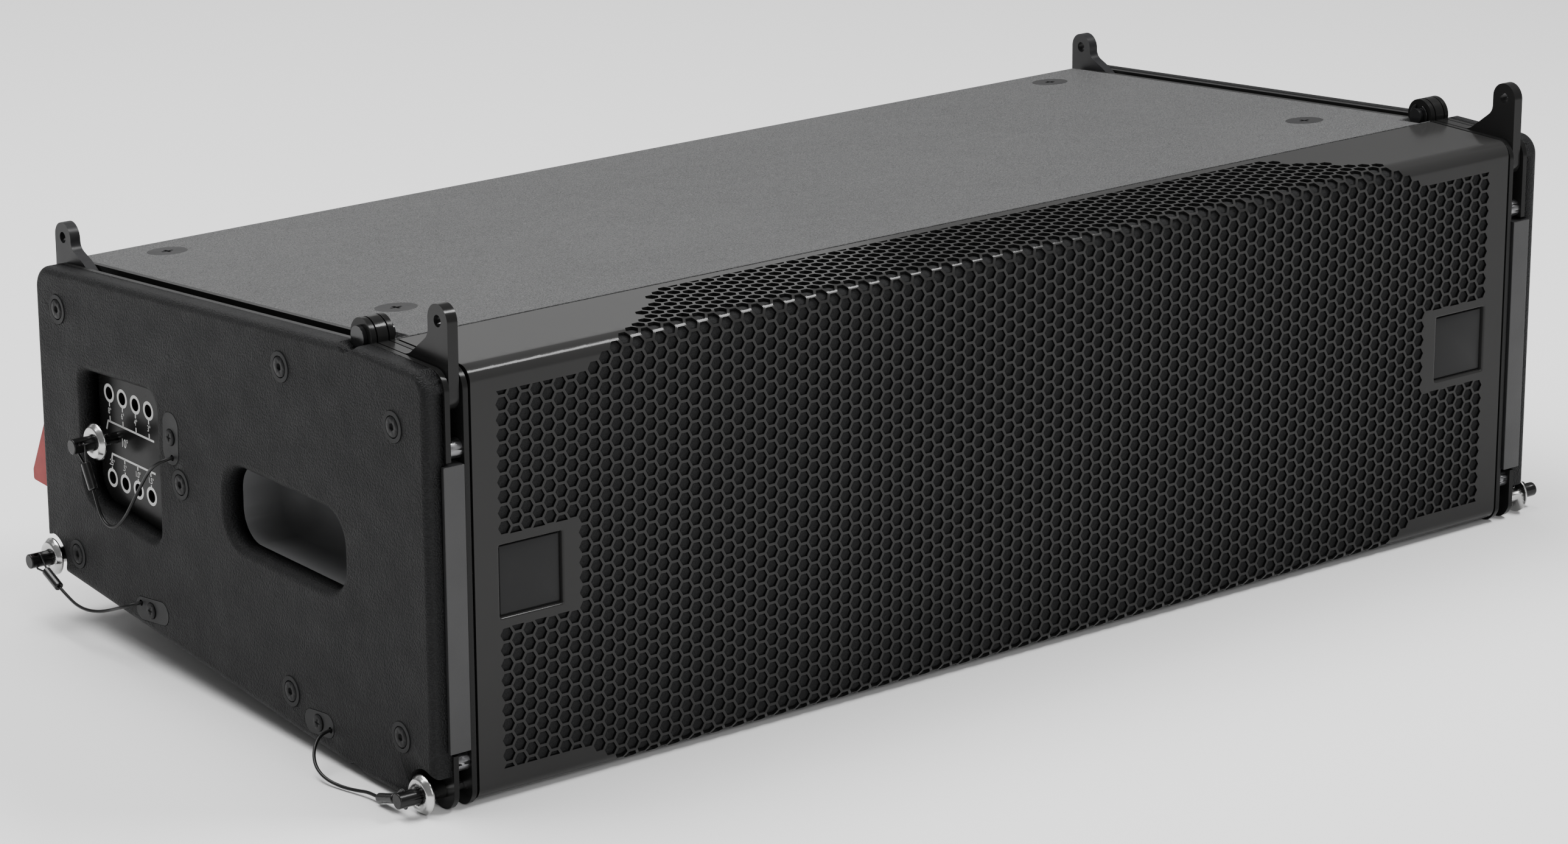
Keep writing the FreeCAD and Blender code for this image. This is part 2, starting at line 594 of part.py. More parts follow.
def handle_cups():
    outer_x = val("cover_x") - val("cover_thick")
    depth = val("cup_deep")
    outer = pocket_block("cup_outer", 3, outer_x - depth, depth)
    inner_x = outer_x - depth + val("cup_wall")
    inner = pocket_block("cup_inner", 0, inner_x, depth)

    def floor_rim(level):
        def wanted(point, edge):
            return abs(point.x - level) < 0.01 and edge.BoundBox.XLength < 0.01
        return wanted
    outer_round = filleted("cup_outer_round", outer, floor_rim(outer_x - depth), 20)
    inner_round = filleted("cup_inner_round", inner, floor_rim(inner_x), 17)
    right = cut("cup_right", outer_round, [inner_round])
    node("handle_cups", group("handle_cups", [right, mirror("cup_left", right)]))


# ---------------------------------------------------------------- quick-release pins and lanyards
# Each pin: where it sits, how far it reaches in, which way its lanyard leaves it (degrees in the
# side view, 0 = to the rear, 90 = up), and the lanyard's route as (x, depth, height).
PINS = {
    "front": {"d": "pin_front_d", "up": "pin_front_up", "tip": "pin_tip_x", "shoulder": "shoulder_r", "way": -16,
              "route": [(517.5, 57, -147.2), (520, 69, -149.2), (524, 83, -149.6), (527, 98, -147.6),
                        (526, 111, -142.6), (520.5, 120.4, -134.8), (510.5, 126.4, -128), (501, 126.4, -128)]},
    "rear": {"d": "pin_rear_d", "up": "pin_rear_up", "tip": "pin_tip_x", "shoulder": "shoulder_r", "way": 202,
             "route": [(518.1, 450, -121.2), (520.1, 434.6, -122.4), (519.6, 420.6, -122.2), (516.7, 409, -120.6),
                       (514.4, 398.4, -117), (514, 389.4, -113.4), (513.6, 379.2, -109.2), (507.5, 372.6, -106.4),
                       (500.5, 372.6, -106.4)]},
    "index": {"d": "pin_index_d", "up": "pin_index_up", "tip": "index_tip_x", "shoulder": "pin_r", "way": 240,
              "route": [(517.8, 402.3, -38.3), (518.3, 396, -46.4), (518.2, 387, -50.6), (517, 377.5, -48.4),
                        (515, 369, -40), (513.4, 360.5, -27), (511.8, 351, -13), (513, 339, 0),
                        (513.8, 326.6, 9.6), (507.5, 320.8, 14), (500.5, 320.8, 14)]},
}
CORD_D = 2.4
FERRULE_START, FERRULE_LONG, FERRULE_R = 13.0, 20.0, 3.4


def pin_set(name, spec):
    """Pin, push knob, looped ferrule and lanyard for one place on the right, and their mirrors."""
    d, up = spec["d"], spec["up"]
    depth, height = val(d), val(up)
    way = math.radians(spec["way"])
    along = V(0, math.cos(way), math.sin(way))
    across = V(0, -math.sin(way), math.cos(way))
    middle = V(val("loop_x"), depth, height)

    shank = cylinder(name + "_shank", "x", "pin_r", "flange_in_x - %s" % spec["tip"], spec["tip"], d, up)
    shoulder = cylinder(name + "_shoulder", "x", spec["shoulder"], "flange_in_x - shoulder_in_x",
                        "shoulder_in_x", d, up)
    rim = cylinder(name + "_rim", "x", "flange_r", 1.2, "flange_in_x", d, up)
    face = cone(name + "_face", "x", "flange_r", "flange_face_r", "flange_out_x - flange_in_x - 1.2",
                "flange_in_x + 1.2", d, up)
    bore = cylinder(name + "_bore", "x", "knob_bore_r", 8, "knob_bore_x", d, up)
    pin = cut(name + "_pin_right", fuse(name + "_pin_whole", [shank, shoulder, rim, face]), [bore])

    knob = cylinder(name + "_knob", "x", "knob_r", "knob_out_x - knob_in_x", "knob_in_x", d, up)
    eased = filleted(name + "_knob_eased", knob,
                     lambda point, edge: abs(point.x - val("knob_out_x")) < 0.01, 0.8)
    cross = []
    for i, offset in enumerate((0, val("knob_travel") + 0.2)):
        hole = doc.addObject("Part::Cylinder", name + "_cross_%d" % i)
        hole.Radius = 1.3
        hole.Height = 16
        start = middle + V(offset, 0, 0) - across * 8
        hole.Placement = FreeCAD.Placement(start, FreeCAD.Rotation(V(0, 0, 1), across))
        cross.append(hole)
    slot = doc.addObject("Part::Box", name + "_cross_slot")
    slot.Length, slot.Width, slot.Height = val("knob_travel") + 0.2, 2.6, 16
    turn = FreeCAD.Rotation(V(1, 0, 0), along, across, "XZY")
    slot.Placement = FreeCAD.Placement(middle - across * 8 - along * 1.3, turn)
    cross.append(slot)
    button = cut(name + "_button_right", eased, cross)

    ferrule = Part.makeCylinder(FERRULE_R, FERRULE_LONG, middle + along * FERRULE_START, along)
    rims = [edge for edge in ferrule.Edges if edge.Closed and edge.Curve.TypeId == "Part::GeomCircle"]
    ferrule = ferrule.makeFillet(0.9, rims)
    bend = [middle + along * (FERRULE_START + 1) + across * 1.3, middle + across * 7.6,
            middle - across * 7.6, middle + along * (FERRULE_START + 1) - across * 1.3]
    wire_loop, _ = tube(bend, 0.75, [2.2, 2.2])
    looped = doc.addObject("Part::Feature", name + "_ferrule_right")
    looped.Shape = ferrule.fuse(wire_loop).removeSplitter()

    points = [middle + along * (FERRULE_START + FERRULE_LONG + 0.3)] + [V(*point) for point in spec["route"]]
    cord_shape, radii = tube(points, CORD_D / 2)
    cord = doc.addObject("Part::Feature", name + "_lanyard_right")
    cord.Shape = cord_shape
    run = cord_shape.Volume / (math.pi * (CORD_D / 2) ** 2)
    print("%s lanyard: length %.1f mm, radii %s" % (name, run, ["%.0f" % r for r in radii]))

    for label, obj in (("pin", pin), ("pin_button", button), ("pin_ferrule", looped), ("lanyard", cord)):
        node("%s_%s_right" % (name, label), obj)
        node("%s_%s_left" % (name, label), mirror("%s_%s_left" % (name, label), obj), shift=False)


def tube(points, radius, bends=None):
    """Round bar along straight runs joined by tangent arcs; returns the solid and the bend radii."""
    edges, radii = [], []
    start = points[0]
    for i in range(1, len(points) - 1):
        before = points[i - 1] - points[i]
        after = points[i + 1] - points[i]
        shorter = min(before.Length, after.Length)
        before.normalize()
        after.normalize()
        half_open = before.getAngle(after) / 2
        half_turn = math.pi / 2 - half_open
        bend = bends[i - 1] if bends else 0.45 * shorter / math.tan(half_turn)
        reach = bend * math.tan(half_turn)
        middle_way = before + after
        middle_way.normalize()
        centre = points[i] + middle_way * (bend / math.cos(half_turn))
        enter, leave = points[i] + before * reach, points[i] + after * reach
        edges.append(Part.LineSegment(start, enter).toShape())
        edges.append(Part.Arc(enter, centre - middle_way * bend, leave).toShape())
        radii.append(bend)
        start = leave
    edges.append(Part.LineSegment(start, points[-1]).toShape())
    path = Part.Wire(edges)
    way = points[1] - points[0]
    disc = Part.Wire(Part.makeCircle(radius, points[0], way))
    solid = path.makePipeShell([disc], True, False)
    length = sum(edge.Length for edge in edges)
    expected = math.pi * radius ** 2 * length
    if abs(solid.Volume - expected) > 0.02 * expected:
        raise ValueError("tube volume %.1f differs from %.1f" % (solid.Volume, expected))
    return solid, radii


# ---------------------------------------------------------------- loudspeakers
def woofers():
    flange, hole, rim = val("woofer_flange_r"), val("woofer_hole_r"), val("cone_r")
    front = val("baffle_front")
    motor_front, motor_r, coil = val("motor_front"), val("motor_r"), val("coil_r")
    frame_line = [(112, front - 4), (flange, front - 4), (flange, front - 0.05), (hole - 2, front - 0.05),
                  (hole - 6, front + 20), (motor_r, motor_front - 0.05), (coil + 10, motor_front - 0.05),
                  (coil + 10, motor_front - 4), (motor_r - 4, motor_front - 4), (108, front + 20),
                  (112, front)]
    back = motor_front + val("motor_deep")
    motor_line = [(0.5, motor_front + 8), (coil - 2.5, motor_front + 8), (coil - 2.5, motor_front + 24),
                  (coil + 3.5, motor_front + 24), (coil + 3.5, motor_front), (motor_r, motor_front),
                  (motor_r, back), (0.5, back)]
    cone_line = [(0, 60), (14, 61.5), (26, 66), (coil - 1, 74), (coil - 1, motor_front + 12),
                 (coil + 1, motor_front + 12), (coil + 1, 76), (rim, front + 3), (rim, front + 1),
                 (coil + 3, 71), (26, 63.5), (14, 59), (0, 57.5)]
    roll = [(rim + 1, front + 1), (rim + 4, front - 2.6), (rim + 8, front - 3.8), (rim + 12, front - 2.6),
            (rim + 15, front + 0.6), (rim + 15, front + 2), (rim + 11, front), (rim + 8, front - 2),
            (rim + 5, front), (rim + 1, front + 3)]
    frames, motors, rolls = [], [], []
    for side, x in (("left", "-woofer_x"), ("right", "woofer_x")):
        frame = turned("frame_" + side, frame_line, x, 0)
        gaps = [cylinder("frame_gap_%s_%d" % (side, i), "y", 17, 40, "%s + %.3f" % (x, 92 * math.cos(a)),
                         front + 26, 92 * math.sin(a))
                for i, a in enumerate(math.radians(30 + 60 * k) for k in range(6))]
        frames.append(cut("woofer_frame_" + side, frame, gaps))
        motors.append(turned("motor_" + side, motor_line, x, 0))
        rolls.append(turned("surround_" + side, roll, x, 0))
        node("woofer_cone_" + side, turned("cone_" + side, cone_line, x, 0))
        set_base(NODES["woofer_cone_" + side], x, "-mid_depth", "base_half")
    node("woofer_frames", group("woofer_frames", frames))
    node("woofer_motors", group("woofer_motors", motors))
    node("woofer_surrounds", group("woofer_surrounds", rolls))


def high_frequency():
    block = fuse("horn_solid", [box("horn_body", -115, "baffle_front - 6", -97, 230, 80, 194),
                                box("horn_flange", -128, "baffle_front - 6", -110, 256, 5.95, 220)])
    flare = doc.addObject("Part::Wedge", "horn_mouth")
    flare.Xmin, flare.Xmax, flare.Zmin, flare.Zmax = -108, 108, -90, 90
    flare.X2min, flare.X2max, flare.Z2min, flare.Z2max = -11, 11, -84, 84
    flare.Ymin, flare.Ymax = 0, 66
    set_base(flare, 0, "baffle_front - 6.01", 0)
    throats = [cylinder("horn_throat_%d" % i, "y", 11, 40, 0, "baffle_front + 50", z)
               for i, z in enumerate((-42, 42))]
    node("waveguide", cut("waveguide", block, [flare] + throats))
    drivers = []
    for z in (-42, 42):
        body = cylinder("driver_body", "y", 40, 46, 0, "baffle_front + 74.05", z)
        cap = cylinder("driver_cap", "y", 30, 12, 0, "baffle_front + 120.05", z)
        drivers.append(fuse("driver", [body, cap]))
    node("hf_drivers", group("hf_drivers", drivers))


def rear_module():
    board = box("module_plate", -200, "rear_front + rear_thick + 0.05", -86, 400, 3, 172)
    fins = [box("fin_%d" % i, -190 + 12.0 * i, "rear_front + rear_thick + 3", -72, 3, 13, 144)
            for i in range(17)]
    seats = [cylinder("socket_seat_%d" % i, "y", 12.05, 8, x, "rear_front + rear_thick - 1", z)
             for i, (x, z) in enumerate(SOCKETS)]
    node("rear_module", cut("rear_module", fuse("module_whole", [board] + fins), seats))
    sockets = []
    for i, (x, z) in enumerate(SOCKETS):
        shell = fuse("socket_shell_%d" % i, [
            cylinder("socket_tube_%d" % i, "y", 12, 24, x, "rear_front + rear_thick - 18", z),
            cylinder("socket_face_%d" % i, "y", 14.5, 2.4, x, "rear_front + rear_thick + 3.1", z)])
        sockets.append(cut("socket_%d" % i, shell, [
            cylinder("socket_mouth_%d" % i, "y", 9, 16, x, "rear_front + rear_thick - 9", z)]))
    node("rear_sockets", group("rear_sockets", sockets))


SOCKETS = [(60, 45), (110, 45), (60, -45), (110, -45)]


# ---------------------------------------------------------------- build, test and write
cabinet()
panel_screws()
grille()
rigging_plates()
links()
side_covers()
retainers()
handle_cups()
for pin_name, pin_spec in PINS.items():
    pin_set(pin_name, pin_spec)
woofers()
high_frequency()
rear_module()
doc.recompute()

for obj in doc.Objects:
    if "Invalid" in obj.State or "Error" in obj.State:
        raise RuntimeError("%s failed: %s" % (obj.Name, obj.State))
for label, obj in NODES.items():
    if obj.Shape.isNull() or not obj.Shape.isValid() or obj.Shape.Volume <= 0:
        raise RuntimeError("%s has no valid shape" % label)

os.makedirs("parts", exist_ok=True)
for label, obj in NODES.items():
    obj.Shape.exportStep("parts/%s.step" % label)
whole = FreeCAD.BoundBox()
for label, obj in NODES.items():
    if "lanyard_" not in label:
        whole.add(obj.Shape.BoundBox)
print(len(NODES), "pieces;", whole)
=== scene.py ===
import json
import math

import bpy
from mathutils import Matrix, Vector
from mathutils.geometry import tessellate_polygon

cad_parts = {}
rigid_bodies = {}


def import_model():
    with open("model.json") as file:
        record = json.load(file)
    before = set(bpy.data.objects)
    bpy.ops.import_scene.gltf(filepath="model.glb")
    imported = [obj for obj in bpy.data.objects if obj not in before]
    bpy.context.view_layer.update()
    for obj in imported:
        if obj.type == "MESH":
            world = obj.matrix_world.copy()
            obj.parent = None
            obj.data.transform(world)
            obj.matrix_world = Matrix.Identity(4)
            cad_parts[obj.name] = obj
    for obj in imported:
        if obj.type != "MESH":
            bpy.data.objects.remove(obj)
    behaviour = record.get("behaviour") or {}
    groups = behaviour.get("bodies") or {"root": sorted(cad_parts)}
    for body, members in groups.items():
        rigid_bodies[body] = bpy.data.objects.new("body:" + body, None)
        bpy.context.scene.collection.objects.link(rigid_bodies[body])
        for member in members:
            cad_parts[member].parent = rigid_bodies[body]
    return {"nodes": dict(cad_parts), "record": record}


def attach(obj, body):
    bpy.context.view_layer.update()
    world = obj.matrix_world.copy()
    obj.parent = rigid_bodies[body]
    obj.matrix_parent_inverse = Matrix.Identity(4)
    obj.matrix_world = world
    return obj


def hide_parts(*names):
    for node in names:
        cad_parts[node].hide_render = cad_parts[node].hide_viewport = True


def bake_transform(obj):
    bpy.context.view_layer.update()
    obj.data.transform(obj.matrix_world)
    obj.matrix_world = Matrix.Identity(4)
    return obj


for old in list(bpy.data.objects):
    bpy.data.objects.remove(old)
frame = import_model()
NODES = frame["nodes"]
bpy.context.view_layer.update()

# Drawing axes in millimetres: x to the right, d the depth behind the grille, h the height above
# the mid plane. The frame's origin is under the middle of the cabinet.
MID_DEPTH, BASE_HALF = 277.5, 152.0
# depth where the red paint of the lift tab starts, and half the width of its edge in metres
TAB_START, PAINT_EDGE = 508.5, 0.0002


def place(x, d, h):
    return Vector((x, d - MID_DEPTH, h + BASE_HALF)) / 1000


# ---------------------------------------------------------------- materials
class Look:
    """Builds one Principled material with object-space detail."""

    def __init__(self, name):
        self.material = bpy.data.materials.new(name)
        self.material.use_nodes = True
        self.tree = self.material.node_tree
        self.shader = self.tree.nodes["Principled BSDF"]
        coordinates = self.add("ShaderNodeTexCoord")
        self.where = coordinates.outputs["Object"]
        self.normal = None

    def add(self, kind, **settings):
        made = self.tree.nodes.new(kind)
        for key, value in settings.items():
            setattr(made, key, value)
        return made

    def link(self, source, target):
        self.tree.links.new(source, target)

    def stretched(self, scale):
        mapping = self.add("ShaderNodeMapping")
        mapping.inputs["Scale"].default_value = scale
        self.link(self.where, mapping.inputs["Vector"])
        return mapping.outputs["Vector"]

    def noise(self, scale, detail=3.0, roughness=0.55, stretch=None):
        made = self.add("ShaderNodeTexNoise")
        made.inputs["Scale"].default_value = scale
        made.inputs["Detail"].default_value = detail
        made.inputs["Roughness"].default_value = roughness
        self.link(self.stretched(stretch) if stretch else self.where, made.inputs["Vector"])
        return made.outputs["Fac"]

    def cells(self, scale):
        made = self.add("ShaderNodeTexVoronoi", feature="SMOOTH_F1")
        made.inputs["Scale"].default_value = scale
        made.inputs["Smoothness"].default_value = 0.8
        self.link(self.where, made.inputs["Vector"])
        return made.outputs["Distance"]

    def ranged(self, value, low, high, to_low, to_high):
        made = self.add("ShaderNodeMapRange")
        for key, number in zip(("From Min", "From Max", "To Min", "To Max"), (low, high, to_low, to_high)):
            made.inputs[key].default_value = number
        self.link(value, made.inputs["Value"])
        return made.outputs["Result"]

    def blend(self, factor, first, second):
        made = self.add("ShaderNodeMix", data_type="RGBA")
        self.link(factor, made.inputs["Factor"])
        for socket, colour in ((made.inputs[6], first), (made.inputs[7], second)):
            if isinstance(colour, bpy.types.NodeSocket):
                self.link(colour, socket)
            else:
                socket.default_value = (*colour, 1)
        return made.outputs[2]

    def bump(self, height, strength, distance):
        made = self.add("ShaderNodeBump")
        made.inputs["Strength"].default_value = strength
        made.inputs["Distance"].default_value = distance
        self.link(height, made.inputs["Height"])
        if self.normal is not None:
            self.link(self.normal, made.inputs["Normal"])
        self.normal = made.outputs["Normal"]

    def finish(self, colour, roughness, metallic=0.0, specular=0.5):
        shader = self.shader
        if isinstance(colour, bpy.types.NodeSocket):
            self.link(colour, shader.inputs["Base Color"])
        else:
            shader.inputs["Base Color"].default_value = (*colour, 1)
        if isinstance(roughness, bpy.types.NodeSocket):
            self.link(roughness, shader.inputs["Roughness"])
        else:
            shader.inputs["Roughness"].default_value = roughness
        shader.inputs["Metallic"].default_value = metallic
        if isinstance(specular, bpy.types.NodeSocket):
            self.link(specular, shader.inputs["Specular IOR Level"])
        else:
            shader.inputs["Specular IOR Level"].default_value = specular
        if self.normal is not None:
            self.link(self.normal, shader.inputs["Normal"])
        return self.material


def tint(colour, factor):
    return tuple(min(1.0, channel * factor) for channel in colour)


def painted(name, colour, roughness, grain=0.0, grain_size=900, peel=0.0, peel_size=500, spread=0.12,
            metallic=0.0, specular=0.5, scuffs=0.0, uneven=0.05):
    """Paint or powder coat: broad tone drift, fine grain, orange peel and faint scuffs."""
    look = Look(name)
    drift = look.noise(9, 4)
    tone = look.blend(look.ranged(drift, 0.3, 0.7, 0, 1), tint(colour, 1 - spread),
                      tint(colour, 1 + spread))
    rough = look.ranged(look.noise(35, 5), 0.3, 0.7, roughness - uneven, roughness + uneven)
    if scuffs:
        marks = look.ranged(look.noise(55, 7, 0.7, (1, 1, 3.5)), 0.66, 0.74, 0, scuffs)
        tone = look.blend(marks, tone, tint(colour, 3.0))
    if peel:
        look.bump(look.cells(peel_size), peel, 0.0005)
    if grain:
        look.bump(look.noise(grain_size, 4, 0.6), grain, 0.0004)
    return look.finish(tone, rough, metallic, specular)


def turned_metal(name, colour, roughness, lines=0.15):
    """Plated or turned metal with fine machining lines round X and soft stains."""
    look = Look(name)
    stains = look.noise(120, 5)
    tone = look.blend(look.ranged(stains, 0.35, 0.7, 0, 1), tint(colour, 0.86), colour)
    rough = look.ranged(look.noise(260, 4), 0.3, 0.7, roughness * 0.7, roughness * 1.4)
    look.bump(look.noise(1500, 2, 0.5, (1, 0.03, 0.03)), lines, 0.0001)
    return look.finish(tone, rough, 1.0)


def cover_look():
    """Side cover: charcoal skin with a coarse pebbled orange peel."""
    look = Look("cover_skin")
    drift = look.noise(7, 4)
    tone = look.blend(look.ranged(drift, 0.3, 0.7, 0, 1), (0.0055, 0.0056, 0.0058),
                      (0.0075, 0.0076, 0.0079))
    pebbles = look.noise(820, 2.5, 0.5)
    tone = look.blend(look.ranged(pebbles, 0.45, 0.66, 0, 0.5), tone, (0.018, 0.0182, 0.0187))
    rub = look.ranged(look.noise(24, 8, 0.72), 0.70, 0.80, 0, 0.25)
    tone = look.blend(rub, tone, (0.035, 0.035, 0.035))
    look.bump(pebbles, 1.0, 0.0012)
    look.bump(look.noise(1500, 2), 0.25, 0.0003)
    rough = look.ranged(look.noise(40, 4), 0.3, 0.7, 0.46, 0.56)
    return look.finish(tone, rough, 0.0, 0.12)


def top_look():
    """Cabinet paint: fine leathery spray texture that greys in the light."""
    look = Look("cabinet_paint")
    drift = look.noise(5, 4)
    tone = look.blend(look.ranged(drift, 0.3, 0.7, 0, 1), (0.054, 0.0545, 0.055), (0.063, 0.0635, 0.064))
    grain = look.noise(1050, 3, 0.55)
    tone = look.blend(look.ranged(grain, 0.42, 0.62, 0, 0.6), tone, (0.13, 0.1305, 0.131))
    dust = look.ranged(look.noise(18, 9, 0.75), 0.68, 0.82, 0, 0.2)
    tone = look.blend(dust, tone, (0.075, 0.075, 0.075))
    look.bump(grain, 1.0, 0.0016)
    look.bump(look.noise(2100, 2), 0.15, 0.0002)
    rough = look.ranged(look.noise(30, 4), 0.3, 0.7, 0.46, 0.56)
    gloss = look.ranged(grain, 0.40, 0.60, 0.08, 0.32)
    return look.finish(tone, rough, 0.0, gloss)


def foam_look():
    """Open-cell foam behind the grille."""
    look = Look("foam")
    cells = look.noise(1500, 6, 0.7)
    tone = look.blend(look.ranged(cells, 0.35, 0.65, 0, 1), (0.012, 0.0121, 0.0123),
                      (0.024, 0.0242, 0.0245))
    look.bump(cells, 0.4, 0.0008)
    return look.finish(tone, 0.9, 0.0, 0.05)


def rear_link_look():
    """Satin black lever whose lift tab, outside the cabinet, is painted red."""
    look = Look("rear_link_paint")
    axes = look.add("ShaderNodeSeparateXYZ")
    look.link(look.where, axes.inputs["Vector"])
    red_from = (TAB_START - MID_DEPTH) / 1000
    outside = look.ranged(axes.outputs["Y"], red_from - PAINT_EDGE, red_from + PAINT_EDGE, 0, 1)
    black = look.blend(look.ranged(look.noise(30, 5), 0.3, 0.7, 0, 1), (0.008, 0.008, 0.0085),
                       (0.014, 0.014, 0.015))
    red = look.blend(look.ranged(look.noise(60, 6), 0.35, 0.65, 0, 1), (0.21, 0.005, 0.004),
                     (0.29, 0.009, 0.007))
    chips = look.ranged(look.noise(190, 7, 0.7), 0.66, 0.7, 0, 0.8)
    red = look.blend(chips, red, (0.03, 0.028, 0.028))
    tone = look.blend(outside, black, red)
    look.bump(look.noise(900, 4, 0.6), 0.12, 0.0003)
    rough = look.ranged(look.noise(45, 4), 0.3, 0.7, 0.3, 0.42)
    return look.finish(tone, rough, 0.0, 0.2)


MATERIALS = {
    "cabinet_paint": top_look(),
    "panel_screw_paint": painted("panel_screw_paint", (0.016, 0.016, 0.0165), 0.45, 0.2, 900,
                                 specular=0.2, scuffs=0.15),
    "grille_paint": painted("grille_paint", (0.022, 0.0218, 0.0215), 0.14, 0.02, 1600, spread=0.05,
                            specular=0.10, uneven=0.015),
    # the near-black material for the walls of the grille holes is painted shade, standing in for the shade
    # inside the holes
    "grille_bore_painted_shade": painted("grille_bore_painted_shade", (0.005, 0.005, 0.005), 0.6, 0.1, 1600, specular=0.1),
    "foam": foam_look(),
    "badge": painted("badge", (0.014, 0.0141, 0.0143), 0.36, 0.1, 1400, spread=0.08,
                     specular=0.1, scuffs=0.12),
    "badge_edge": painted("badge_edge", (0.004, 0.004, 0.004), 0.5, 0.1, 1400),
    "cover_paint": cover_look(),
    "plate_steel": painted("plate_steel", (0.009, 0.009, 0.0089), 0.24, 0.08, 1300,
                           specular=0.1, scuffs=0.15),
    "slot_rubber": painted("slot_rubber", (0.014, 0.014, 0.0145), 0.45, 0.2, 900),
    "spacer_steel": turned_metal("spacer_steel", (0.20, 0.20, 0.205), 0.38),
    "front_link_steel": painted("front_link_steel", (0.010, 0.0099, 0.0098), 0.2, 0.06, 1300,
                                specular=0.15, scuffs=0.15),
    "rear_link_steel": rear_link_look(),
    "knuckle_steel": painted("knuckle_steel", (0.012, 0.012, 0.0125), 0.2, 0.05, 1300,
                             metallic=0.3, specular=0.4, scuffs=0.15),
    "screw_steel": painted("screw_steel", (0.010, 0.010, 0.0104), 0.42, 0.15, 1200, specular=0.1),
    "washer_steel": painted("washer_steel", (0.010, 0.0102, 0.0105), 0.5, 0.3, 800, specular=0.14),
    "retainer_steel": painted("retainer_steel", (0.010, 0.0102, 0.0105), 0.48, 0.25, 900, specular=0.18),
    "cup_plastic": painted("cup_plastic", (0.13, 0.131, 0.133), 0.45, 0.12, 1100, spread=0.06,
                           specular=0.12),
    "button_black": painted("button_black", (0.005, 0.005, 0.005), 0.3, 0.08, 1500, specular=0.25),
    "ferrule_steel": painted("ferrule_steel", (0.008, 0.008, 0.008), 0.3, 0.08, 1500, metallic=0.2),
    "pin_aluminium": turned_metal("pin_steel", (0.50, 0.50, 0.495), 0.2),
    "lanyard_cable": painted("lanyard_cable", (0.006, 0.006, 0.006), 0.3, 0.1, 2200, specular=0.2),
    "frame_alloy": painted("frame_alloy", (0.02, 0.02, 0.02), 0.5, 0.3, 700),
    "magnet": turned_metal("motor_plating", (0.25, 0.25, 0.26), 0.4),
    "cone_paper": painted("cone_paper", (0.018, 0.018, 0.018), 0.8, 0.5, 900),
    "surround_foam": painted("surround_rubber", (0.012, 0.012, 0.012), 0.6, 0.2, 900),
    "horn_plastic": painted("horn_plastic", (0.012, 0.012, 0.012), 0.5, 0.2, 900),
    "heatsink": painted("heatsink", (0.016, 0.016, 0.017), 0.38, 0.1, 1200, metallic=0.5, scuffs=0.2),
    "socket_plastic": painted("socket_plastic", (0.012, 0.012, 0.013), 0.4, 0.15, 1000),
    "white_ink": painted("white_ink", (0.62, 0.62, 0.61), 0.5, 0.1, 1800, spread=0.06),
}
# width in millimetres of the small round given to the edges of each material's nodes
BEVELS = {
    "plate_steel": 0.35, "front_link_steel": 0.5, "rear_link_steel": 0.45, "slot_rubber": 0.5,
    "cabinet_paint": 0.6, "badge": 0.0, "retainer_steel": 0.25, "washer_steel": 0.2,
    "knuckle_steel": 0.35, "heatsink": 0.3, "panel_screw_paint": 0.25,
}


WELD_REACH, BEVEL_FROM = 2e-6, math.radians(50)


def soften(obj, width):
    """Joins the imported faces, rounds sharp edges a little and keeps flats flat."""
    weld = obj.modifiers.new("weld", "WELD")
    weld.merge_threshold = WELD_REACH
    if width:
        bevel = obj.modifiers.new("edge", "BEVEL")
        bevel.width = width / 1000
        bevel.segments = 2
        bevel.limit_method = "ANGLE"
        bevel.angle_limit = BEVEL_FROM
        bevel.use_clamp_overlap = True
        bevel.miter_outer = "MITER_ARC"
        bevel.harden_normals = False
    if obj.data.has_custom_normals:
        obj.data.attributes.remove(obj.data.attributes["custom_normal"])
    obj.data.shade_smooth()
    smooth = obj.modifiers.new("normals", "WEIGHTED_NORMAL")
    smooth.keep_sharp = True
    smooth.weight = 80


SLOT_OF = {row["node"]: row["material_slot"] for row in frame["record"]["subparts"]}
for label, obj in NODES.items():
    obj.data.materials.clear()
    obj.data.materials.append(MATERIALS[SLOT_OF[label]])


def mesh_object(name, points, faces, material, body="cabinet", smooth=False):
    mesh = bpy.data.meshes.new(name)
    mesh.from_pydata([tuple(p) for p in points], [], faces)
    mesh.validate()
    mesh.update()
    obj = bpy.data.objects.new(name, mesh)
    bpy.context.scene.collection.objects.link(obj)
    mesh.materials.append(MATERIALS[material])
    if smooth:
        mesh.shade_smooth()
    if body:
        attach(obj, body)
    return obj


# ---------------------------------------------------------------- perforated grille
# hexagon lattice: distance between columns and between rows, hole and cell radius to a corner
COLUMN, ROW = 9.076, 10.48
HOLE_R, CELL_R = 4.965, ROW / math.sqrt(3)
SHEET_THICK = 2.0
# folded sheet: half width, half height, outside bend radius and depth of the flanges' rear edge
SHEET_X, FRONT_HALF, CORNER, REAR_EDGE = 468.7, 149.0, 11.0, 82.2
BEND_START = FRONT_HALF - CORNER
BEND = math.pi / 2 * CORNER
SHEET_END = BEND_START + BEND + REAR_EDGE - CORNER
# the field of holes ends at these distances along the wrap, and stays clear of the badges
SIDE_LIMIT, SEAM_LIMIT, BADGE_CLEAR = 129.6, 218.7, 31.7
BADGE_X, BADGE_HALF = 424.3, 27.0
# lattice cells to each side of the middle; the last column with holes and the first beside a badge
CELL_COLUMNS, CELL_ROWS, LAST_COLUMN, BADGE_COLUMN = 52, 23, 49, 43
BEND_STEPS = 12
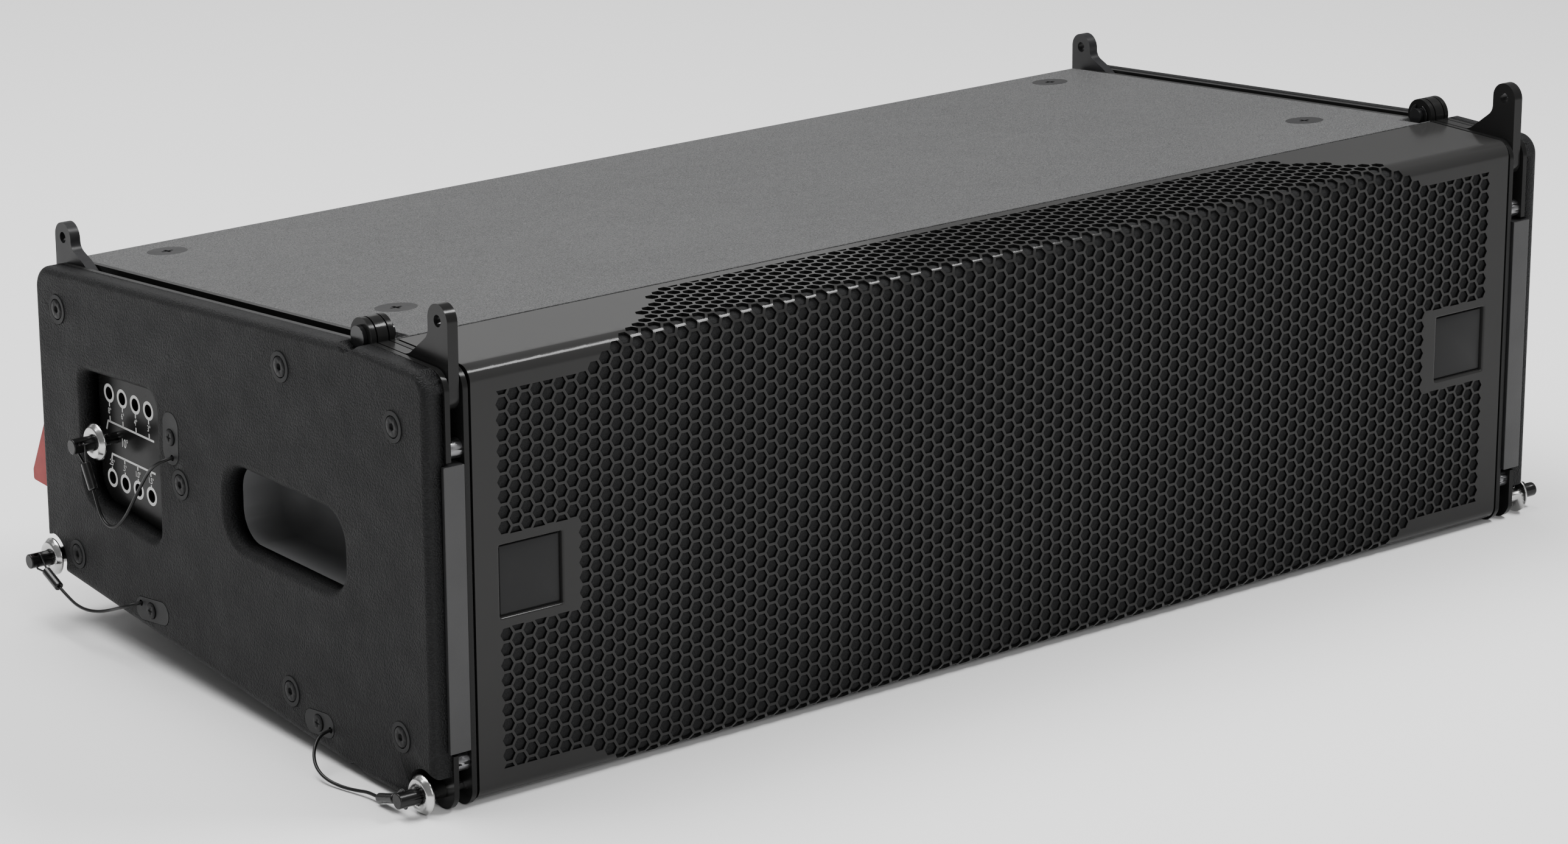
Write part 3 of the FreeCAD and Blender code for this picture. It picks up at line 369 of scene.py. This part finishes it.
# how many rows of whole holes stand above the mid plane in the columns near each end of the field
LEFT_ROWS = {42: 12, 41: 12.5, 40: 13, 39: 13.5, 38: 14, 37: 14.5, 36: 15, 35: 15.5, 34: 17, 33: 17.5,
             32: 18, 31: 19.5, 30: 20, 29: 20.5}
RIGHT_ROWS = {42: 12, 41: 12.5, 40: 13, 39: 13.5, 38: 15, 37: 15.5, 36: 16, 35: 17.5, 34: 18, 33: 18.5,
              32: 20, 31: 20.5}


def on_sheet(x, s):
    """Point of the wrapped sheet: x across, s the distance along the wrap from the mid plane."""
    side = 1 if s >= 0 else -1
    run = abs(s)
    if run <= BEND_START:
        return place(x, 0, side * run)
    angle = (run - BEND_START) / CORNER
    if angle <= math.pi / 2:
        return place(x, CORNER * (1 - math.cos(angle)), side * (BEND_START + CORNER * math.sin(angle)))
    return place(x, CORNER + run - BEND_START - BEND, side * FRONT_HALF)


def hexagon(x, s, radius):
    return [(x + radius * math.cos(math.radians(60 * i)), s + radius * math.sin(math.radians(60 * i)))
            for i in range(6)]


def clip(polygon, axis, limit, keep_below):
    """Part of a convex polygon on one side of a line x = limit or s = limit."""
    sign = 1 if keep_below else -1
    kept = []
    for i, here in enumerate(polygon):
        following = polygon[(i + 1) % len(polygon)]
        a = sign * (limit - here[axis])
        b = sign * (limit - following[axis])
        if a >= -1e-9:
            kept.append(here)
        if (a > 1e-9 and b < -1e-9) or (a < -1e-9 and b > 1e-9):
            share = a / (a - b)
            kept.append(tuple(here[j] + share * (following[j] - here[j]) for j in (0, 1)))
    return kept if len(kept) > 2 else []


def hole_at(k, n):
    """Outline of the hole in lattice cell (k, n), or an empty list where the sheet is whole."""
    x, s = k * COLUMN, n * ROW
    rows = abs(n)
    side = 1 if s >= 0 else -1
    outline = hexagon(x, s, HOLE_R)
    if abs(k) > LAST_COLUMN:
        return []
    if abs(k) >= BADGE_COLUMN:
        outline = clip(outline, 1, side * SIDE_LIMIT, side > 0)
        if outline and rows * ROW < BADGE_CLEAR + HOLE_R:
            outline = clip(outline, 1, side * BADGE_CLEAR, side < 0)
        return outline
    ends = LEFT_ROWS if k < 0 else RIGHT_ROWS
    if abs(k) in ends:
        return outline if rows <= ends[abs(k)] else []
    return clip(outline, 1, side * SEAM_LIMIT, side > 0)


class Welded:
    """Collects polygons and joins points that fall together."""

    def __init__(self):
        self.points, self.faces, self.index = [], [], {}

    def vertex(self, x, s):
        key = (round(x, 2), round(s, 2))
        if key not in self.index:
            self.index[key] = len(self.points)
            self.points.append(on_sheet(x, s))
        return self.index[key]

    def polygon(self, outline):
        corners = []
        for x, s in outline:
            i = self.vertex(x, s)
            if not corners or (i != corners[-1] and i != corners[0]):
                corners.append(i)
        if len(corners) > 2:
            self.faces.append(corners)


BEND_LINES = [side * (BEND_START + BEND * i / BEND_STEPS) for side in (-1, 1) for i in range(BEND_STEPS + 1)]


def add_clipped(sheet, outline):
    """Adds a convex polygon, cut to the sheet, to the badge windows and to the bend lines."""
    for axis, low, high in ((0, -SHEET_X, SHEET_X), (1, -SHEET_END, SHEET_END)):
        outline = clip(outline, axis, high, True)
        if outline:
            outline = clip(outline, axis, low, False)
    if not outline:
        return
    pieces = [outline]
    for centre in (-BADGE_X, BADGE_X):
        kept = []
        for piece in pieces:
            xs = [p[0] for p in piece]
            ss = [p[1] for p in piece]
            beside = max(xs) <= centre - BADGE_HALF or min(xs) >= centre + BADGE_HALF
            above = max(ss) <= -BADGE_HALF or min(ss) >= BADGE_HALF
            if beside or above:
                kept.append(piece)
                continue
            kept.append(clip(piece, 0, centre - BADGE_HALF, True))
            kept.append(clip(piece, 0, centre + BADGE_HALF, False))
            inner = clip(piece, 0, centre - BADGE_HALF, False)
            inner = clip(inner, 0, centre + BADGE_HALF, True) if inner else []
            if inner:
                kept.append(clip(inner, 1, BADGE_HALF, False))
                kept.append(clip(inner, 1, -BADGE_HALF, True))
        pieces = [piece for piece in kept if piece]
    for line in BEND_LINES:
        cut = []
        for piece in pieces:
            ss = [p[1] for p in piece]
            if min(ss) < line - 0.01 and max(ss) > line + 0.01:
                cut += [part for part in (clip(piece, 1, line, True), clip(piece, 1, line, False)) if part]
            else:
                cut.append(piece)
        pieces = cut
    for piece in pieces:
        sheet.polygon(piece)


def whole(hole):
    """True if a hole still has its full height, so no limit has cut it."""
    heights = [p[1] for p in hole]
    return abs(max(heights) - min(heights) - HOLE_R * math.sqrt(3)) < 0.01


def signed_area(corners):
    """Twice the area of a triangle, negative if it runs clockwise."""
    following = corners[1:] + corners[:1]
    return sum(a[0] * b[1] - b[0] * a[1] for a, b in zip(corners, following))


def build_grille():
    """Perforated sheet: lattice cells with their holes, wrapped over the two bends."""
    sheet = Welded()
    for k in range(-CELL_COLUMNS, CELL_COLUMNS + 1):
        for j in range(-CELL_ROWS, CELL_ROWS + 1):
            n = j if k % 2 == 0 else j + 0.5
            cell = hexagon(k * COLUMN, n * ROW, CELL_R)
            hole = hole_at(k, n)
            if not hole:
                add_clipped(sheet, cell)
            elif len(hole) == 6 and hole[0][0] - k * COLUMN > HOLE_R - 0.01 and whole(hole):
                for i in range(6):
                    following = (i + 1) % 6
                    add_clipped(sheet, [cell[i], cell[following], hole[following], hole[i]])
            else:
                rings = [[Vector((x, s, 0)) for x, s in ring] for ring in (cell, hole)]
                flat = cell + hole
                for triangle in tessellate_polygon(rings):
                    corners = [flat[i] for i in triangle]
                    add_clipped(sheet, corners if signed_area(corners) > 0 else corners[::-1])
    obj = mesh_object("grille_sheet", sheet.points, sheet.faces, "grille_paint", smooth=True)
    obj.data.update()
    mid_height = BASE_HALF / 1000
    middle = max(obj.data.polygons, key=lambda face: -abs(face.center.x) - abs(face.center.z - mid_height))
    if middle.normal.y > 0:
        obj.data.flip_normals()
    thick = obj.modifiers.new("thickness", "SOLIDIFY")
    thick.thickness = SHEET_THICK / 1000
    thick.offset = -1
    thick.use_even_offset = False
    # the hole walls and sheet edges take the near-black painted shade material through the rim offset
    obj.data.materials.append(MATERIALS["grille_bore_painted_shade"])
    thick.material_offset_rim = 1
    edge = obj.modifiers.new("edges", "EDGE_SPLIT")
    edge.split_angle = math.radians(40)
    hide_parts("grille")


build_grille()

# foam: gap to the sheet's outer face, depth of its back, half width
FOAM_GAP, FOAM_BACK, FOAM_X = 2.35, 9.5, 462.0
# thickness of the thin dark strip under the flanges, a painted shadow sheet that darkens the flange holes;
# depth where the back turns down, its drop there, clearance beside a badge
SHADOW_STRIP_THIN, FOAM_TURN, FOAM_DROP, FOAM_BESIDE, FOAM_STEPS = 0.2, 14, 7.45, 3, 6


def foam_lining():
    """Foam bonded inside the wrapped sheet, with pockets left for the two badges; its thin dark strip under
    the flanges is a painted shadow sheet seen through the flange holes.
    """
    top = FRONT_HALF - FOAM_GAP
    # the first pair is the thin dark strip under the flange, a painted shadow sheet that darkens the flange
    # holes
    section = [((REAR_EDGE - 1, top), (REAR_EDGE - 1, top - SHADOW_STRIP_THIN))]
    radius = CORNER - FOAM_GAP
    for i in range(FOAM_STEPS + 1):
        share = i / FOAM_STEPS
        a = math.radians(90 * (1 - share))
        outer = (CORNER - radius * math.cos(a), BEND_START + radius * math.sin(a))
        inner = (FOAM_TURN - (FOAM_TURN - FOAM_BACK) * share, top - SHADOW_STRIP_THIN - FOAM_DROP * share)
        section.append((outer, inner))
    section.append(((FOAM_GAP, BADGE_CLEAR), (FOAM_BACK, BADGE_CLEAR)))
    lower = [((a, -b), (c, -e)) for (a, b), (c, e) in reversed(section)]
    edge = BADGE_X - BADGE_HALF - FOAM_BESIDE
    points, faces = [], []

    def run(low_x, high_x, pairs):
        """Closed strip of foam from low_x to high_x along pairs of outer and inner points."""
        start = len(points)
        for outer, inner in pairs:
            points.extend([place(low_x, *outer), place(high_x, *outer), place(high_x, *inner),
                           place(low_x, *inner)])
        for i in range(len(pairs) - 1):
            here = start + 4 * i
            for j in range(4):
                k = (j + 1) % 4
                faces.append((here + j, here + k, here + 4 + k, here + 4 + j))
        faces.append(tuple(range(start, start + 4)))
        faces.append(tuple(range(len(points) - 4, len(points))))

    run(-edge, edge, section + lower)
    for side in (-1, 1):
        for pairs in (section, lower):
            run(min(side * edge, side * FOAM_X), max(side * edge, side * FOAM_X), pairs)
    foam = mesh_object("grille_lining", points, faces, "foam")
    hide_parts("grille_foam")


foam_lining()


# ---------------------------------------------------------------- badges: blank plates in a lipped recess
def rounded_square(half, radius, steps=6):
    """Closed outline of (u, v), starting on the right, anticlockwise."""
    points = []
    for quarter in range(4):
        centre_angle = math.radians(90 * quarter + 45)
        u = (half - radius) * (1 if math.cos(centre_angle) > 0 else -1)
        v = (half - radius) * (1 if math.sin(centre_angle) > 0 else -1)
        for i in range(steps + 1):
            a = math.radians(90 * quarter + 90 * i / steps)
            points.append((u + radius * math.cos(a), v + radius * math.sin(a)))
    return points


def square_from(outline, half):
    """Moves each outline point out to the square it was rounded from."""
    points = []
    for u, v in outline:
        scale = half / max(abs(u), abs(v))
        points.append((u * scale, v * scale))
    return points


def ringed(name, centre_x, rings, material, closed=False, replaced=()):
    """Skin through a list of (outline, depth) rings with equal counts, optionally capped."""
    points, faces = [], []
    count = len(rings[0][0])
    for outline, depth in rings:
        points += [place(centre_x + u, depth, v) for u, v in outline]
    for ring in range(len(rings) - 1):
        for i in range(count):
            j = (i + 1) % count
            here, beyond = ring * count, (ring + 1) * count
            faces.append((here + i, here + j, beyond + j, beyond + i))
    if closed:
        faces.append(tuple(range((len(rings) - 1) * count, len(rings) * count)))
    obj = mesh_object(name, points, faces, material, smooth=True)
    split = obj.modifiers.new("edges", "EDGE_SPLIT")
    split.split_angle = math.radians(35)
    if replaced:
        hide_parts(*replaced)
    return obj


# recess: half width and corner radius of its mouth, radius of the rolled lip, corner radius and depth inside
MOUTH_HALF, MOUTH_CORNER, LIP_R, INSIDE_CORNER, RECESS_DEEP = BADGE_HALF - 0.6, 2.6, 1.5, 1.2, 4.1
LIP_STEPS = 5


def badges():
    for side, centre in (("left", -BADGE_X), ("right", BADGE_X)):
        mouth = rounded_square(MOUTH_HALF, MOUTH_CORNER)
        rings = [(square_from(mouth, BADGE_HALF), 0.0), (mouth, 0.0)]
        for i in range(1, LIP_STEPS + 1):
            a = math.radians(90 * i / LIP_STEPS)
            inset = LIP_R * math.sin(a)
            outline = rounded_square(MOUTH_HALF - inset, max(INSIDE_CORNER, MOUTH_CORNER - inset))
            rings.append((outline, LIP_R * (1 - math.cos(a))))
        rings.append((rounded_square(MOUTH_HALF - LIP_R, INSIDE_CORNER), RECESS_DEEP))
        rings.append((rounded_square(0.5, 0.2), RECESS_DEEP))
        lip = ringed("badge_recess_" + side, centre, rings, "grille_paint", closed=True)
        face = [(rounded_square(23.6, 0.8), 4.0), (rounded_square(23.6, 0.8), 2.75),
                (rounded_square(23.3, 0.6), 2.4), (rounded_square(22.9, 0.4), 2.3)]
        plate = ringed("badge_plate_" + side, centre, face, "badge", closed=True,
                       replaced=("badge_plates",) if side == "left" else ())


badges()


# ---------------------------------------------------------------- index plate markings
PLATE_FACE = 488.5
# index holes: depth of the rearmost column, distance between columns, height of each row off the mid plane
FIRST_D, PITCH_D, ROW_H = 430.7, 18.06, 31.5
# thickness of the ink, the painted rings round the holes, and the widths of long and short lines
INK, RING_OUT, RING_IN, RING_STEPS, LONG_LINE, SHORT_LINE = 0.06, 6.9, 4.7, 40, 1.5, 1.3
# heights of the two long lines, and of the figures in the upper, lower and middle places
UPPER_LINE, LOWER_LINE, UPPER_TEXT, LOWER_TEXT, MIDDLE_TEXT = 10.4, -13.4, 18.1, -20.3, -1.7
MIDDLE_D = 411.5
# figure, column, height on the plate and size; the middle figure stands between two columns
FIGURES = [("8°", 0, UPPER_TEXT, 4.5), ("6°", 1, UPPER_TEXT, 4.5), ("4°", 2, UPPER_TEXT, 4.5),
           ("3°", 3, UPPER_TEXT, 4.5), (".25°", 0, LOWER_TEXT, 4.3), (".5°", 1, LOWER_TEXT, 4.3),
           ("1.0°", 2, LOWER_TEXT, 4.3), ("1.5°", 3, LOWER_TEXT, 4.3), ("10°", None, MIDDLE_TEXT, 6.4)]
# height of a capital as a share of the font size, and how much the figures are narrowed
CAPITAL, NARROW = 0.69, 0.82


def ink_strip(side, a, b, width):
    """Painted line from a to b (depth, height) on the outer plate of one side."""
    x = side * (PLATE_FACE + INK)
    ad, ah = a
    bd, bh = b
    length = math.hypot(bd - ad, bh - ah)
    nd, nh = -(bh - ah) / length * width / 2, (bd - ad) / length * width / 2
    return [place(x, ad + nd, ah + nh), place(x, bd + nd, bh + nh), place(x, bd - nd, bh - nh),
            place(x, ad - nd, ah - nh)]


def markings():
    for side, word in ((-1, "left"), (1, "right")):
        points, faces = [], []

        def add(outline):
            start = len(points)
            points.extend(outline)
            faces.append(tuple(range(start, start + len(outline))))

        x = side * (PLATE_FACE + INK)
        for row in (1, -1):
            for column in range(4):
                d, h = FIRST_D - column * PITCH_D, row * ROW_H
                for i in range(RING_STEPS):
                    a = 2 * math.pi * i / RING_STEPS
                    b = 2 * math.pi * (i + 1) / RING_STEPS
                    add([place(x, d + radius * math.cos(turned), h + radius * math.sin(turned))
                         for radius, turned in ((RING_OUT, a), (RING_OUT, b), (RING_IN, b), (RING_IN, a))])
        low_d = FIRST_D - 3 * PITCH_D - 6.5
        ring_edge = ROW_H - RING_OUT + 0.1
        add(ink_strip(side, (436.2, 3.6), (433.6, 10.6), LONG_LINE))
        add(ink_strip(side, (434.0, UPPER_LINE), (low_d, UPPER_LINE), LONG_LINE))
        add(ink_strip(side, (430.9, -17.6), (429.8, LOWER_LINE), LONG_LINE))
        add(ink_strip(side, (430.2, LOWER_LINE), (low_d, LOWER_LINE), LONG_LINE))
        for column in range(4):
            d = FIRST_D - column * PITCH_D
            add(ink_strip(side, (d, UPPER_LINE), (d, 14.6), SHORT_LINE))
            add(ink_strip(side, (d, 21.6), (d, ring_edge), SHORT_LINE))
            if column:
                add(ink_strip(side, (d, LOWER_LINE), (d, -17.0), SHORT_LINE))
            add(ink_strip(side, (d, -23.2), (d, -ring_edge), SHORT_LINE))
        ink = mesh_object("index_marks_" + word, points, faces, "white_ink")
        for number, (text, column, h, tall) in enumerate(FIGURES):
            curve = bpy.data.curves.new("figure", "FONT")
            curve.body = text
            curve.size = tall / CAPITAL / 1000
            curve.align_x = "CENTER"
            curve.align_y = "CENTER"
            curve.resolution_u = 3
            curve.space_character = 0.92
            d = MIDDLE_D if column is None else FIRST_D - column * PITCH_D
            figure = bpy.data.objects.new("index_figure_%s_%d" % (word, number), curve)
            bpy.context.scene.collection.objects.link(figure)
            curve.materials.append(MATERIALS["white_ink"])
            run = Vector((0, side, 0))
            up = Vector((0, 0, 1))
            turn = Matrix((run * NARROW, up, run.cross(up))).transposed().to_4x4()
            figure.matrix_world = Matrix.Translation(place(x + side * 0.02, d, h)) @ turn
            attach(figure, "cabinet")


markings()


# ---------------------------------------------------------------- lanyards
# distance of each wire loop from the middle, cable diameter, and length from pin axis to the ferrule's end
LOOP_X, CORD_D, FERRULE_END = 517.5, 2.4, 33.3
# each pin's depth and height, the direction of its ferrule in degrees, and the cable's route from there
PINS = {
    "front": {"d": 13.8, "h": -138.4, "way": -16,
              "route": [(517.5, 57, -147.2), (520, 69, -149.2), (524, 83, -149.6), (527, 98, -147.6),
                        (526, 111, -142.6), (520.5, 120.4, -134.8), (510.5, 126.4, -128),
                        (501, 126.4, -128)]},
    "rear": {"d": 495, "h": -104.8, "way": 202,
             "route": [(518.1, 450, -121.2), (520.1, 434.6, -122.4), (519.6, 420.6, -122.2),
                       (516.7, 409, -120.6), (514.4, 398.4, -117), (514, 389.4, -113.4),
                       (513.6, 379.2, -109.2),
                       (507.5, 372.6, -106.4), (500.5, 372.6, -106.4)]},
    "index": {"d": 424, "h": 0, "way": 240,
              "route": [(517.8, 402.3, -38.3), (518.3, 396, -46.4), (518.2, 387, -50.6),
                        (517, 377.5, -48.4), (515, 369, -40), (513.4, 360.5, -27), (511.8, 351, -13),
                        (513, 339, 0),
                        (513.8, 326.6, 9.6), (507.5, 320.8, 14), (500.5, 320.8, 14)]},
}


def spline_curve(name, points, bevel):
    """Smooth curve led by the points; bevel is its radius, and 0 leaves a bare line."""
    curve = bpy.data.curves.new(name, "CURVE")
    curve.dimensions = "3D"
    curve.resolution_u = 10
    curve.bevel_depth = bevel
    curve.bevel_resolution = 4
    curve.use_fill_caps = True
    spline = curve.splines.new("NURBS")
    spline.points.add(len(points) - 1)
    for control, point in zip(spline.points, points):
        control.co = (*point, 1)
    spline.order_u = 3
    spline.use_endpoint_u = True
    obj = bpy.data.objects.new(name, curve)
    bpy.context.scene.collection.objects.link(obj)
    return obj


def meshed(curve_object):
    """Mesh of a curve object; the curve object itself is removed."""
    bpy.context.view_layer.update()
    graph = bpy.context.evaluated_depsgraph_get()
    mesh = bpy.data.meshes.new_from_object(curve_object.evaluated_get(graph))
    bpy.data.objects.remove(curve_object)
    return mesh


def lanyards():
    for name, spec in PINS.items():
        way = math.radians(spec["way"])
        for side, word in ((-1, "left"), (1, "right")):
            start = (LOOP_X, spec["d"] + FERRULE_END * math.cos(way),
                     spec["h"] + FERRULE_END * math.sin(way))
            points = [place(side * x, d, h) for x, d, h in [start] + spec["route"]]
            line = meshed(spline_curve("line", points, 0))
            tube = meshed(spline_curve("tube", points, CORD_D / 2000))
            cord = bpy.data.objects.new("%s_cable_%s" % (name, word), tube)
            bpy.context.scene.collection.objects.link(cord)
            tube.materials.clear()
            tube.materials.append(MATERIALS["lanyard_cable"])
            tube.shade_smooth()
            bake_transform(cord)
            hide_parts("%s_lanyard_%s" % (name, word))


lanyards()

for label, obj in NODES.items():
    if not obj.hide_render:
        soften(obj, BEVELS.get(SLOT_OF[label], 0.0))


# ---------------------------------------------------------------- stage, light and camera
FLOOR_HALF = 30
# camera: place on the drawing axes, picture's right direction, view direction, lens and sensor
CAMERA_AT = (-2125.1, -2484.7, 1051.8)
CAMERA_RIGHT = Vector((0.792386, -0.610011, -0.003376))
CAMERA_FORWARD = Vector((0.580962, 0.756316, -0.300781))
LENS, SENSOR = 112.226, 36
# softboxes in metres and watts: name, place, target, width, height, power
SOFTBOXES = [
    ("overhead", (-0.75, 0.9, 3.4), (-0.1, 0.1, 0.2), 2.6, 2.6, 215),
    ("strip", (1.55, -1.23, 2.9), (0, -0.28, 0.3), 1.3, 0.5, 110),
    ("back_wall", (1.0, 4.2, 1.9), (-0.2, 0, 0.3), 4.2, 2.0, 16),
    ("front", (-0.62, -2.0, 0.95), (-0.5, -0.3, 0.2), 0.9, 0.9, 16),
]


def stage():
    """Plain pale paper floor."""
    mesh = bpy.data.meshes.new("floor")
    corners = [(-FLOOR_HALF, -FLOOR_HALF, 0), (FLOOR_HALF, -FLOOR_HALF, 0),
               (FLOOR_HALF, FLOOR_HALF, 0), (-FLOOR_HALF, FLOOR_HALF, 0)]
    mesh.from_pydata(corners, [], [(0, 1, 2, 3)])
    floor = bpy.data.objects.new("floor", mesh)
    bpy.context.scene.collection.objects.link(floor)
    material = bpy.data.materials.new("floor_paper")
    material.use_nodes = True
    shader = material.node_tree.nodes["Principled BSDF"]
    shader.inputs["Base Color"].default_value = (0.82, 0.82, 0.82, 1)
    shader.inputs["Roughness"].default_value = 0.9
    shader.inputs["Specular IOR Level"].default_value = 0.1
    mesh.materials.append(material)


def area_light(name, location, target, width, height, power):
    """Softbox at location, facing target."""
    data = bpy.data.lights.new(name, "AREA")
    data.shape = "RECTANGLE"
    data.size = width
    data.size_y = height
    data.energy = power
    obj = bpy.data.objects.new(name, data)
    bpy.context.scene.collection.objects.link(obj)
    obj.location = location
    obj.rotation_euler = (Vector(target) - Vector(location)).to_track_quat("-Z", "Y").to_euler()


def camera():
    data = bpy.data.cameras.new("camera")
    data.sensor_width = SENSOR
    data.lens = LENS
    data.clip_start, data.clip_end = 0.05, 100
    obj = bpy.data.objects.new("camera", data)
    bpy.context.scene.collection.objects.link(obj)
    up = CAMERA_RIGHT.cross(CAMERA_FORWARD)
    turn = Matrix((CAMERA_RIGHT, up, -CAMERA_FORWARD)).transposed().to_4x4()
    obj.matrix_world = Matrix.Translation(place(*CAMERA_AT)) @ turn
    bpy.context.scene.camera = obj


def lighting():
    world = bpy.data.worlds.new("studio")
    bpy.context.scene.world = world
    world.use_nodes = True
    background = world.node_tree.nodes["Background"]
    background.inputs["Color"].default_value = (1, 1, 1, 1)
    background.inputs["Strength"].default_value = 0.3
    for softbox in SOFTBOXES:
        area_light(*softbox)


stage()
camera()
lighting()

bpy.context.view_layer.update()
